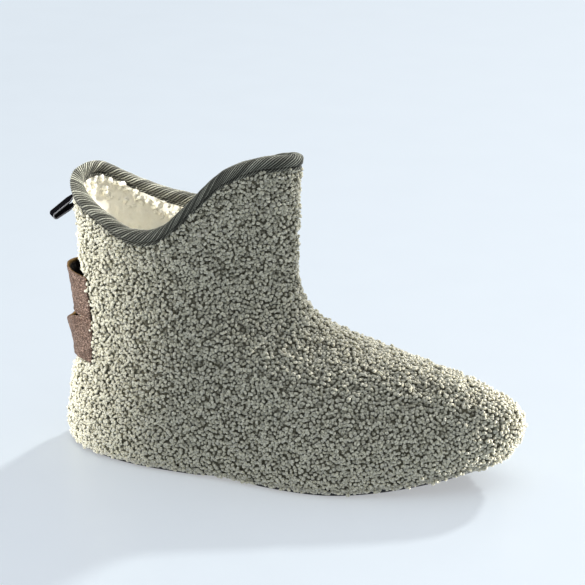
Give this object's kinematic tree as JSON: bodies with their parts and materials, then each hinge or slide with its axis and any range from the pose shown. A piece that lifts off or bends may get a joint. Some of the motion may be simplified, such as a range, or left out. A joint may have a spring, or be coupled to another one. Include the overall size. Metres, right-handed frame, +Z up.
{
  "type": "house slipper",
  "caption": "Ankle-high house slipper for the right foot in grey curly fabric, with a taped wavy collar, fleece lining, leather heel tabs and a thin dark sole.",
  "frame": {"origin": "centre of the bounding box, at the floor", "axes": "+X to the toe, +Y to the inner side of the foot, +Z up"},
  "size_m": [0.2704, 0.0962, 0.1754],
  "materials": {
    "curly_cloth": "matt, tight raised curls",
    "twill_tape": "matt, diagonal ribs",
    "ribbon": "low sheen",
    "leather": "grained, low sheen",
    "rubber": "matt",
    "fleece": "matt, soft pile"
  },
  "bodies": {
    "root": {"upper": "curly_cloth", "outsole": "rubber", "insole": "fleece", "collar_binding": "twill_tape", "pull_loop": "ribbon", "heel_tab_upper": "leather", "heel_tab_lower": "leather"}
  },
  "joints": []
}
